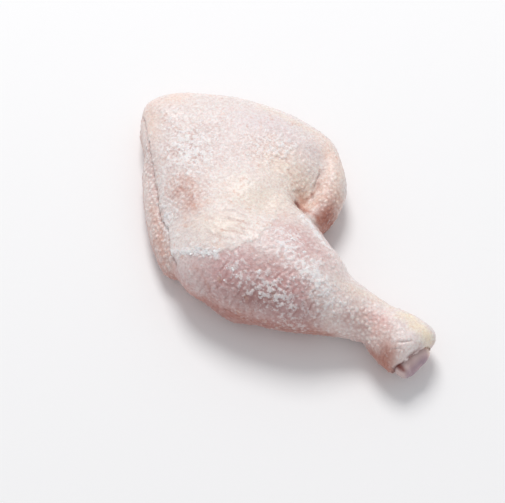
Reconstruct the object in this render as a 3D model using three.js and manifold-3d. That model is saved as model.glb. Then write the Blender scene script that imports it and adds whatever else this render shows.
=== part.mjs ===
// A raw chicken leg quarter: thigh and drumstick in one, skin side up, lying on a flat surface.
// Millimetres, +X along the drumstick from knee to ankle, +Y towards the hip, +Z up. The origin is under
// the middle of the leg, on the surface that it lies on.
// The flesh is a closed surface drawn round a field of soft forms; the leg bone is turned on a lathe.
import * as THREE from "three";
import { mergeVertices } from "three/addons/utils/BufferGeometryUtils.js";
import Module from "manifold-3d";

// Driving dimensions. Places are measured from the middle of the knee, on the surface the leg lies on.

// The thigh, a pillow of meat. Its outline is seen from above, at the height of its waist. Its edge rounds
// over within the rim, up to the crown and down towards a level below the surface it lies on.
const THIGH = {
  outline: [
    [-81, 71], [-73, 55], [-49.5, 23.5], [-38, 8], [-23.5, -3.5], [-5.5, -11], [16, -3.5], [26, 23.5],
    [28, 50.5], [28, 73], [25, 89.5], [4.5, 98.8], [-28, 99.3], [-54, 93.6], [-74, 83.5],
  ],
  rim: 34,
  crown: 32.5,
  waist: 15.5,
  floorReach: 11,
  fullness: 2.3, // 2 is a round edge, more is squarer
};
// What lifts or lowers the crown: the knee, the valley behind the calf, the thin front corner.
const MOUNDS = [
  { x: -16, y: 27, wide: 30.5, high: 4.5 },
  { x: 30, y: 50, wide: 12, high: -13 },
  { x: -54, y: 72, wide: 32.5, high: -5.5 },
];

// Soft strands. Each station gives the middle x, y, z, then half the width and half the height.
const DRUMSTICK = [
  [-11, 11, 18, 12.5, 16], [1, 7, 19, 24.5, 22], [12.5, 7.5, 20, 29.5, 24.5], [24.5, 9, 20, 30, 24.5],
  [39.5, 7.5, 20, 25.5, 23.5], [54, 5.7, 18, 18.4, 18.3], [74, 7, 14.5, 13, 13], [86, 5.9, 14, 11.7, 12],
  [95, 2.9, 14, 14.7, 14.2], [101, 1.3, 14, 15.7, 14.5], [115, -2.6, 14, 15, 10.5],
];
const CALF_RIDGE = [
  [35, 26, 22.5, 7, 8], [28.5, 31.5, 23.5, 8.5, 9.5], [13.5, 38.5, 25, 9, 10], [3.5, 43, 24.5, 8, 9],
];
const REAR_ROLL = [
  [0, 90, 16, 4.5, 8], [17, 88, 16, 6, 9.5], [29.5, 74.5, 15, 7, 11.5], [32, 66.5, 14.5, 8.5, 11.5],
  [32, 52, 13.5, 8, 11.5], [26, 36, 12.5, 8, 10],
];
const FRONT_LIP = [
  [-76, 72, 10, 6.5, 7], [-69, 61, 10, 9, 8.5], [-60.5, 52, 10, 10, 9], [-54.5, 38.5, 10, 10.5, 9.5],
  [-37, 11.5, 10, 11, 10], [-24, -1.5, 10, 11, 10],
];
const SKIN_TAB = [
  [2, -16.5, 11.5, 3, 5], [14.5, -19, 11.5, 3, 6], [20.5, -18, 11.5, 2.5, 5.5], [28, -16, 11, 2, 3.5],
];

// How softly the forms run into each other. The drumstick grows out of the knee, and further back it
// stands clear of the thigh behind it.
const BLENDS = { knee: 18, crotch: 3.5, ridge: 8, roll: 2.3, lip: 1.4, tab: 1, cut: 4.5 };
const KNEE_ENDS = { soft: -13, sharp: 14.5 };

// The cut at the ankle, a plane across the end of the shank, turned from the drumstick's own direction.
const CUT = { x: 109.8, y: -4.5, turn: -29 };

// The leg bone: a shaft through the drumstick and a pulley-shaped joint end of cartilage, which stands out
// of the cut. The pulley lies across the shank, its nearer end the thicker and lower one.
const BONE = {
  shaft: [[16, 9, 21.5], [39.5, 7.5, 20], [63, 6.5, 15.5], [84.5, 4.5, 13.7], [106, 0, 13.5]],
  shaftRadius: 4,
  shaftSteps: 16,
  shaftSides: 10,
};
const JOINT = {
  x: 106.7,
  y: -3.7,
  z: 13,
  turn: -25,
  tilt: 10,
  halfLength: 10.6,
  radius: 7.6,
  waistRadius: 7,
  waistSpread: 0.65, // how far out from the middle the waist reaches, 1 being the ends
  taper: 0.15, // how much thicker the nearer end is, and the other thinner
  steps: 16,
  sides: 20,
  endSquareness: 5, // 2 is a round end, more is squarer
};
const GAP = 0.35; // clearance between bone and flesh

// The grid that the flesh is drawn on, and how finely strands and outline are sampled.
const CELL = 3.05;
const REACH = { low: [-101, -47, -22], high: [133, 119, 65] };
const STRAND_BALLS = 60;
const OUTLINE_STEPS = 120;

const toVector = ([x, y, z]) => new THREE.Vector3(x, y, z);

// The field of the flesh: negative inside, positive outside, in roughly millimetres.

function smoothUnion(a, b, softness) {
  const overlap = Math.max(softness - Math.abs(a - b), 0) / softness;
  return Math.min(a, b) - (overlap * overlap * softness) / 4;
}

const smoothCut = (a, b, softness) => -smoothUnion(-a, -b, softness);

// A strand is a row of balls, flattened or drawn up as its stations say.
function strandBalls(stations) {
  const centres = new THREE.CatmullRomCurve3(stations.map(toVector));
  const sizes = new THREE.CatmullRomCurve3(stations.map(([, , , wide, high]) => toVector([wide, high, 0])));
  return Array.from({ length: STRAND_BALLS + 1 }, (_, i) => {
    const t = i / STRAND_BALLS;
    const { x: wide, y: high } = sizes.getPoint(t);
    return { centre: centres.getPoint(t), wide, stretch: wide / high };
  });
}

function strandField(balls, p) {
  return balls.reduce((nearest, { centre, wide, stretch }) => {
    const reach = Math.hypot(p.x - centre.x, p.y - centre.y, (p.z - centre.z) * stretch);
    return Math.min(nearest, reach - wide);
  }, Infinity);
}

function closedOutline(points) {
  const curve = new THREE.CatmullRomCurve3(points.map(([x, y]) => new THREE.Vector3(x, y, 0)), true);
  return curve.getPoints(OUTLINE_STEPS).slice(0, -1);
}

// How far inside a closed outline a point is, negative outside.
function depthInside(outline, x, y) {
  let nearest = Infinity;
  let inside = false;
  outline.forEach((a, i) => {
    const b = outline[(i + 1) % outline.length];
    const [ex, ey, wx, wy] = [b.x - a.x, b.y - a.y, x - a.x, y - a.y];
    const t = THREE.MathUtils.clamp((wx * ex + wy * ey) / (ex * ex + ey * ey), 0, 1);
    nearest = Math.min(nearest, Math.hypot(wx - ex * t, wy - ey * t));
    if (a.y > y !== b.y > y && x < a.x + ((y - a.y) / ey) * ex) inside = !inside;
  });
  return inside ? nearest : -nearest;
}

const thighOutline = closedOutline(THIGH.outline);
const drumstick = strandBalls(DRUMSTICK);
const ridge = strandBalls(CALF_RIDGE);
const roll = strandBalls(REAR_ROLL);
const lip = strandBalls(FRONT_LIP);
const tab = strandBalls(SKIN_TAB);
const cutNormal = new THREE.Vector3(1, 0, 0).applyAxisAngle(
  new THREE.Vector3(0, 0, 1), THREE.MathUtils.degToRad(CUT.turn),
);
const cutPlace = new THREE.Vector3(CUT.x, CUT.y, 0);

function crownAt(x, y) {
  return MOUNDS.reduce(
    (height, m) => height + m.high * Math.exp(-((x - m.x) ** 2 + (y - m.y) ** 2) / (m.wide * m.wide)),
    THIGH.crown,
  );
}

function thighField(p) {
  const side = Math.max(0, 1 - depthInside(thighOutline, p.x, p.y) / THIGH.rim);
  const above = p.z > THIGH.waist;
  const reach = above ? crownAt(p.x, p.y) - THIGH.waist : THIGH.waist + THIGH.floorReach;
  const rise = Math.abs(p.z - THIGH.waist) / reach;
  const n = THIGH.fullness;
  return ((side ** n + rise ** n) ** (1 / n) - 1) * Math.min(THIGH.rim, reach);
}

function fleshField(p) {
  const softness = THREE.MathUtils.lerp(
    BLENDS.knee, BLENDS.crotch, THREE.MathUtils.smoothstep(p.x, KNEE_ENDS.soft, KNEE_ENDS.sharp),
  );
  const calf = smoothUnion(strandField(drumstick, p), strandField(ridge, p), BLENDS.ridge);
  let flesh = smoothUnion(thighField(p), calf, softness);
  flesh = smoothUnion(flesh, strandField(roll, p), BLENDS.roll);
  flesh = smoothUnion(flesh, strandField(lip, p), BLENDS.lip);
  flesh = smoothUnion(flesh, strandField(tab, p), BLENDS.tab);
  return smoothCut(flesh, p.clone().sub(cutPlace).dot(cutNormal), BLENDS.cut);
}

// Draws a closed surface where a field is zero: one vertex in each grid cell that the surface
// crosses, moved onto the surface, and one four-sided face round each grid edge that it crosses.
function surfaceOf(field, { low, high }, cell) {
  const counts = low.map((v, i) => Math.ceil((high[i] - v) / cell) + 1);
  const at = (i, j, k) => (k * counts[1] + j) * counts[0] + i;
  const point = (i, j, k) => new THREE.Vector3(low[0] + i * cell, low[1] + j * cell, low[2] + k * cell);
  const values = new Float32Array(counts[0] * counts[1] * counts[2]);
  const grid = (margin, visit) => {
    for (let k = 0; k < counts[2] - margin; k++)
      for (let j = 0; j < counts[1] - margin; j++)
        for (let i = 0; i < counts[0] - margin; i++) visit(i, j, k);
  };
  grid(0, (i, j, k) => {
    values[at(i, j, k)] = field(point(i, j, k));
  });
  while (fillDiagonals(values, grid, at, cell));

  const vertices = [];
  const vertexOf = new Map();
  grid(1, (i, j, k) => {
    const crossings = CELL_EDGES.flatMap(([a, b]) => {
      const va = values[at(i + a[0], j + a[1], k + a[2])];
      const vb = values[at(i + b[0], j + b[1], k + b[2])];
      if (va < 0 === vb < 0) return [];
      const start = point(i + a[0], j + a[1], k + a[2]);
      return [start.lerp(point(i + b[0], j + b[1], k + b[2]), va / (va - vb))];
    });
    if (!crossings.length) return;
    const mean = crossings.reduce((sum, q) => sum.add(q), new THREE.Vector3()).divideScalar(crossings.length);
    vertexOf.set(at(i, j, k), vertices.length);
    vertices.push(settle(field, mean, point(i, j, k), cell));
  });

  const triangles = [];
  grid(1, (i, j, k) => {
    STEPS.forEach((step, axis) => {
      const here = values[at(i, j, k)] < 0;
      const there = values[at(i + step[0], j + step[1], k + step[2])] < 0;
      if (here === there) return;
      const around = faceCorners(axis).map(([x, y, z]) => vertexOf.get(at(i - x, j - y, k - z)));
      const [p, q, r, s] = here ? around : around.reverse();
      const shortWay = vertices[p].distanceTo(vertices[r]) < vertices[q].distanceTo(vertices[s]);
      triangles.push(...(shortWay ? [p, q, r, p, r, s] : [p, q, s, q, r, s]));
    });
  });
  return geometryFrom(vertices, triangles);
}

const STEPS = [[1, 0, 0], [0, 1, 0], [0, 0, 1]];
const CORNERS = Array.from({ length: 8 }, (_, c) => [c & 1, (c >> 1) & 1, c >> 2]);
const stepsApart = (a, b) => a.reduce((sum, v, n) => sum + Math.abs(v - b[n]), 0);
const CELL_EDGES = CORNERS.flatMap((a, m) =>
  CORNERS.slice(m + 1).filter((b) => stepsApart(a, b) === 1).map((b) => [a, b]),
);

// The corners of a grid face across an axis, in turn.
function faceCorners(axis) {
  const u = STEPS[(axis + 1) % 3];
  const w = STEPS[(axis + 2) % 3];
  return [[0, 0], [1, 0], [1, 1], [0, 1]].map(([m, n]) => u.map((v, i) => m * v + n * w[i]));
}

// Where two opposite corners of a grid face are inside and the other two outside, the surface would
// touch itself along an edge, so the shallower of the outside corners is taken in.
function fillDiagonals(values, grid, at, cell) {
  let filled = false;
  grid(1, (i, j, k) => {
    STEPS.forEach((_, axis) => {
      const face = faceCorners(axis).map(([x, y, z]) => at(i + x, j + y, k + z));
      const inside = face.map((c) => values[c] < 0);
      if (inside[0] !== inside[2] || inside[1] !== inside[3] || inside[0] === inside[1]) return;
      const [a, b] = face.filter((_, c) => !inside[c]);
      values[values[a] < values[b] ? a : b] = -cell / 20;
      filled = true;
    });
  });
  return filled;
}

// Moves a point onto the surface along the field's slope, without leaving its own cell.
function settle(field, start, corner, cell) {
  const rounds = 3;
  const probe = cell / 20;
  const margin = cell / 20;
  const flattest = 0.1;
  const p = start.clone();
  for (let round = 0; round < rounds; round++) {
    const here = field(p);
    const slope = new THREE.Vector3(
      field(p.clone().setX(p.x + probe)) - here,
      field(p.clone().setY(p.y + probe)) - here,
      field(p.clone().setZ(p.z + probe)) - here,
    ).divideScalar(probe);
    p.addScaledVector(slope, -here / Math.max(slope.lengthSq(), flattest));
  }
  return p.clamp(corner.clone().addScalar(margin), corner.clone().addScalar(cell - margin));
}

function geometryFrom(vertices, triangles) {
  const geometry = new THREE.BufferGeometry();
  const numbers = vertices.flatMap((v) => v.toArray());
  geometry.setAttribute("position", new THREE.Float32BufferAttribute(numbers, 3));
  geometry.setIndex(triangles);
  return geometry;
}

// Solids, for cutting and joining.

const wasm = await Module();
wasm.setup();

function solidFrom(geometry) {
  const bare = geometry.clone();
  bare.deleteAttribute("normal");
  bare.deleteAttribute("uv");
  const merged = mergeVertices(bare, 1e-3);
  return new wasm.Manifold(new wasm.Mesh({
    numProp: 3,
    vertProperties: new Float32Array(merged.attributes.position.array),
    triVerts: new Uint32Array(merged.index.array),
  }));
}

function geometryOf(solid) {
  const mesh = solid.getMesh();
  const geometry = new THREE.BufferGeometry();
  geometry.setAttribute("position", new THREE.BufferAttribute(mesh.vertProperties, 3));
  geometry.setIndex(new THREE.BufferAttribute(mesh.triVerts, 1));
  return geometry;
}

// The bone, grown by a clearance where it is used to cut its own socket.
function boneSolid(clearance) {
  const path = new THREE.CatmullRomCurve3(BONE.shaft.map(toVector));
  const circle = new THREE.Shape().absarc(0, 0, BONE.shaftRadius + clearance, 0, 2 * Math.PI);
  const shaft = new THREE.ExtrudeGeometry(circle, {
    steps: BONE.shaftSteps, curveSegments: BONE.shaftSides / 2, bevelEnabled: false, extrudePath: path,
  });

  const half = JOINT.halfLength + clearance;
  const profile = Array.from({ length: JOINT.steps + 1 }, (_, i) => {
    const along = Math.cos((i / JOINT.steps) * Math.PI); // 1 at the nearer end, -1 at the other
    const swell = THREE.MathUtils.smoothstep(Math.abs(along), 0, JOINT.waistSpread);
    const radius = THREE.MathUtils.lerp(JOINT.waistRadius, JOINT.radius, swell) * (1 + JOINT.taper * along);
    const rounding = Math.sqrt(Math.max(0, 1 - Math.abs(along) ** JOINT.endSquareness));
    return new THREE.Vector2((radius + clearance) * rounding, -half * along);
  });
  const joint = new THREE.LatheGeometry(profile, JOINT.sides);
  joint.rotateX(THREE.MathUtils.degToRad(JOINT.tilt));
  joint.rotateZ(THREE.MathUtils.degToRad(JOINT.turn));
  joint.translate(JOINT.x, JOINT.y, JOINT.z);
  return solidFrom(shaft).add(solidFrom(joint));
}

function fleshSolid() {
  const span = 400;
  const below = new THREE.BoxGeometry(span, span, span).translate(0, 0, -span / 2);
  return solidFrom(surfaceOf(fleshField, REACH, CELL)).subtract(solidFrom(below)).subtract(boneSolid(GAP));
}

const skin = new THREE.MeshStandardMaterial({ color: 0xe3cfc6, roughness: 0.5, metalness: 0 });
const cartilage = new THREE.MeshStandardMaterial({ color: 0xb9b0bf, roughness: 0.3, metalness: 0 });

function named(name, solid, material) {
  const mesh = new THREE.Mesh(geometryOf(solid), material);
  mesh.name = name;
  return mesh;
}

const leg = new THREE.Group();
leg.add(named("leg_flesh", fleshSolid(), skin), named("leg_bone", boneSolid(0), cartilage));

// Puts the origin under the middle of the leg, on the surface that it lies on.
const box = new THREE.Box3().setFromObject(leg, true);
const middle = box.getCenter(new THREE.Vector3());
leg.position.set(-middle.x, -middle.y, -box.min.z);

export default leg;
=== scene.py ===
# A raw chicken leg quarter, lightly frosted, lying skin side up on a plain pale surface.
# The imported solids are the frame. The skin is drawn afresh from the flesh solid at a fine grain, and
# folds, bumps and the open cut are worked into it. The cartilage is rounded and dented from the bone
# solid. Frost grains and ice flakes are scattered on the skin as pieces of their own.
# The tables give places and sizes in millimetres from the middle of the knee, on the surface that the
# leg lies on, with +X along the drumstick and +Y towards the hip.
import math
from functools import partial

import bmesh
import bpy
import numpy as np
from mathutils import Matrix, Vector, noise
from mathutils.bvhtree import BVHTree


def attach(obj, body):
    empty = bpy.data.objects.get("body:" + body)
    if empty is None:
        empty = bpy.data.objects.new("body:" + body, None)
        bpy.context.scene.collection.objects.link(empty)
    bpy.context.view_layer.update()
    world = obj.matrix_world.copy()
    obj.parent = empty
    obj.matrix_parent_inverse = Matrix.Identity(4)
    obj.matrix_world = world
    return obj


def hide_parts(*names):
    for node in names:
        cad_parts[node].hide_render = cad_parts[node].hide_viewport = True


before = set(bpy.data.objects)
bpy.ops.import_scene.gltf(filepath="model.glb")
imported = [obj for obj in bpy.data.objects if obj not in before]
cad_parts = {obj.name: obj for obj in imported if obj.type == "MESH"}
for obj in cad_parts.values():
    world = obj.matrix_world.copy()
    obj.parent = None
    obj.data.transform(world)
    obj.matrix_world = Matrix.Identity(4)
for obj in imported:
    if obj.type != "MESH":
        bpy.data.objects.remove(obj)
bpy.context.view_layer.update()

MM = 0.001
MERGE_WITHIN = 0.002  # how near to each other two corners are joined, in millimetres
KNEE = np.array((-17.483, -39.12, 0.0))  # the knee's middle in the frame, in millimetres
BODY = "root"
WANDER_SEED = 4  # Blender's noise for moving points is otherwise different on each run
noise.seed_set(WANDER_SEED)

# The photograph's view: a long lens from a little to the right, looking well down.
PICTURE_WIDTH = 505  # pixels
VIEW = {"elevation": 62, "azimuth": 25, "distance": 810, "mm_per_pixel": 0.522}
AIM = (9.17, 17.55, 13.5)  # what the middle of the picture shows
SENSOR_MM = 36

# The grain of the skin's mesh, how its first shape is smoothed, and how many triangles it may keep.
SKIN_CELL = 0.55
CALMING = {"factor": 0.5, "iterations": 4}
SKIN_TRIANGLES = 192_000

# The cut across the ankle: a place on it, and the way it faces. Seen from in front, its left end is lean
# and its right end fatty. Places across it count from that place towards the right.
CUT_PLACE = np.array((109.8, -4.5, 14.0))
CUT_TURN = math.radians(-29)
CUT_FACING = np.array((math.cos(CUT_TURN), math.sin(CUT_TURN), 0.0))
CUT_ACROSS = np.array((-math.sin(CUT_TURN), math.cos(CUT_TURN), 0.0))
SOCKET_DEPTH = 4.5  # how far behind the cut the skin piece is closed, out of sight
SOCKET_REACH = 1.4  # how near to the bone its surface counts as the socket's wall
COLLAR_EDGE = 0.8  # how far behind the cut the skin is drawn in all the way round the cartilage
COLLAR_REACH = 8  # how far behind that it starts to draw in
COLLAR_GAP = {"fatty end": 0.7, "lean end": 2.0}  # how near to the cartilage it comes
LEAN_END = (-3, -11)  # how far across the lean end starts, and is wholly lean
LEAST_PULL = 0.01  # a point that would be drawn in by a smaller share stays where it is

# Where bare meat shows in the cut. Each pair is where it starts and where it shows in full: how squarely
# a place faces as the cut does, how far out it lies from the cut, and how far across.
BARE_MEAT = {"facing": (0.8, 0.95), "out": (-2.5, -1.2), "across": (7, -1)}
# A fainter line of the meat's colour runs along the skin's cut edge: partly the meat showing through,
# partly painted shadow along that edge.
CUT_RIM = {"out": (-1.4, -0.4), "shade": 0.5}

# Where the sides are painted ruddier, in such pairs too: how far a place faces the calf's side, how low
# it lies, and how far it faces up. It is painted shade on sides that turn down and away from the light,
# and in part the lean showing through the skin.
SIDE_SHADE_AND_LEAN = {"towards the calf": (-0.2, 0.4), "low": (13, 6), "upwards": (0.65, -0.15)}

# Folds, as lines on the skin: their points, then how wide and deep the fold is pressed, how far its
# sides are drawn together, and how unevenly it runs.
FOLDS = {
    "crease behind the lip": {
        "line": [(-79, 66, 19), (-70, 53, 20), (-63, 43.5, 20.5), (-54.5, 31, 20), (-49, 23, 20),
                 (-45, 16.5, 19.5), (-40, 10.5, 20), (-33.5, 4.5, 24), (-27.5, -4, 24), (-18.5, -13.5, 24.5)],
        "wide": 1.0, "deep": 1.3, "pinch": 0.25, "uneven": 1.3,
    },
    "groove before the roll": {
        "line": [(24, 71, 25.4), (24.4, 66.7, 24.4), (24.6, 62.3, 23), (25, 58, 21.8), (26.4, 53, 21.7)],
        "wide": 0.7, "deep": 1.0, "pinch": 0.4, "uneven": 0.8,
    },
    "seam of the skin tab": {
        "line": [(10, -21.5, 21), (16, -21.5, 20.5), (23, -21, 18.5), (31, -20, 17.5), (41, -18, 17),
                 (51, -15, 17)],
        "wide": 0.7, "deep": 0.6, "pinch": 0.2, "uneven": 0.6,
    },
    "under the calf's edge": {
        "line": [(18, 47.5, 26), (20.8, 47.7, 23), (24.2, 46.5, 22.3), (28.2, 44.2, 24), (32, 42.3, 23.4),
                 (35.5, 40.5, 20)],
        "wide": 0.7, "deep": 1.2, "pinch": 0.4, "uneven": 0.4,
    },
    "long wrinkle on the knuckle": {
        "line": [(98.5, -5.4, 27), (100.3, -4.5, 27.3), (102.9, -3.2, 27.8), (105.3, -1.2, 27.8),
                 (108.3, -0.7, 27.1)],
        "wide": 0.6, "deep": 0.8, "pinch": 0.3, "uneven": 0.4,
    },
    "short wrinkle on the knuckle": {
        "line": [(104.7, -6, 26.6), (106.2, -4.6, 27), (108.2, -3.9, 26.2), (109.6, -2.1, 25.7)],
        "wide": 0.6, "deep": 0.45, "pinch": 0.2, "uneven": 0.6,
    },
    "third wrinkle on the knuckle": {
        "line": [(98.4, -8.7, 24.9), (101, -7.4, 26), (103.7, -7.3, 25.9)],
        "wide": 0.6, "deep": 0.35, "pinch": 0.2, "uneven": 0.6,
    },
    "crease along the hip": {
        "line": [(-70, 85, 11), (-58, 91.5, 9.5), (-42, 97, 11), (-28, 99.5, 10), (-10, 99.3, 11.5),
                 (6, 98.5, 9.5), (20, 92.5, 11)],
        "wide": 1.2, "deep": 1.6, "pinch": 0.3, "uneven": 1.6,
    },
    "short crease over the hip": {
        "line": [(-46, 95, 18), (-34, 98, 16.5), (-20, 99, 17.5), (-8, 98.5, 19.5)],
        "wide": 1.2, "deep": 0.8, "pinch": 0.25, "uneven": 1.6,
    },
    "first crease in the valley": {
        "line": [(-12, 57.5, 33.5), (-3.3, 56.1, 33.2), (1.4, 58.4, 33), (6.7, 59.5, 32),
                 (11.8, 58.7, 30.3), (17, 56.8, 27)],
        "wide": 0.7, "deep": 0.25, "pinch": 0.15, "uneven": 0.9,
    },
    "second crease in the valley": {
        "line": [(-1.9, 63.1, 33), (4.3, 64.8, 32.3), (10.1, 64.9, 31.2), (15.6, 63.3, 29),
                 (20.5, 59.7, 25.3)],
        "wide": 0.7, "deep": 0.25, "pinch": 0.15, "uneven": 0.9,
    },
    "third crease in the valley": {
        "line": [(6.3, 55.4, 32.4), (10.4, 55.3, 31), (14.6, 53.7, 28.8), (18.5, 51.3, 25.3)],
        "wide": 0.7, "deep": 0.2, "pinch": 0.15, "uneven": 0.7,
    },
    "first crease in the fat": {
        "line": [(-12.2, 17, 40.3), (-8, 20.1, 40.6), (-2.3, 22.3, 40.3), (3.3, 22.4, 40.2)],
        "wide": 0.8, "deep": 0.4, "pinch": 0.2, "uneven": 1.0,
    },
    "second crease in the fat": {
        "line": [(-8.1, 13.1, 41.4), (-2.7, 16.1, 41.7), (3.6, 16.9, 42.1), (9.1, 14.7, 43.5)],
        "wide": 0.8, "deep": 0.4, "pinch": 0.2, "uneven": 1.0,
    },
    "third crease in the fat": {
        "line": [(-3.8, 8.9, 42.2), (0.7, 11.3, 42.6), (6.2, 11.4, 43.7), (10.3, 9.7, 44.4)],
        "wide": 0.8, "deep": 0.4, "pinch": 0.2, "uneven": 1.0,
    },
}
FOLD_TURNS = 5  # the size of the turns that a fold's line strays in
FOLD_BREAKS = {"size": 3, "share": 0.35}  # how its depth comes and goes
FOLD_REACH = 4  # how many of its widths a fold reaches to each side, and takes to fade in from its ends
FOLD_ENDS = 0.2  # the share of its depth that it has at its very ends
FOLD_SHADED = 1.5  # how deep a fold is that is shaded in full

# The edge of the fat that covers the thigh, seen from above: the calf's muscle shows beyond it.
FAT_EDGE = [
    (-44, -9), (-28.7, -8.6), (-23.3, -7.9), (-17.9, -6.7), (-12.1, -5.7), (-7.3, -3.7), (-1.5, -3),
    (4.2, -0.9), (9.5, 2.1), (12, 6.1), (14.9, 11.8), (16.6, 17.7), (17.2, 23.8), (16.8, 29.5), (16.7, 36),
    (17.3, 42.4), (18, 55),
]
# How far the fat stands above the muscle at its edge, half the width of the step there, and how far back
# from it the fat stands only half as high.
FAT_STEP = {"high": 0.35, "half width": 0.4, "half high at": 6}
FAT_BLUR = 0.7  # half the width of the soft border that the muscle's tones have there

# The line along the lip, in front of the crease behind it.
LIP = [(-67.2, 47.2, 18.5), (-59.4, 34.1, 17.7), (-50.9, 20.8, 18.1), (-42.1, 8.1, 18.3), (-34, -1.1, 18.1),
       (-26.3, -8.5, 18.1)]

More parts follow.
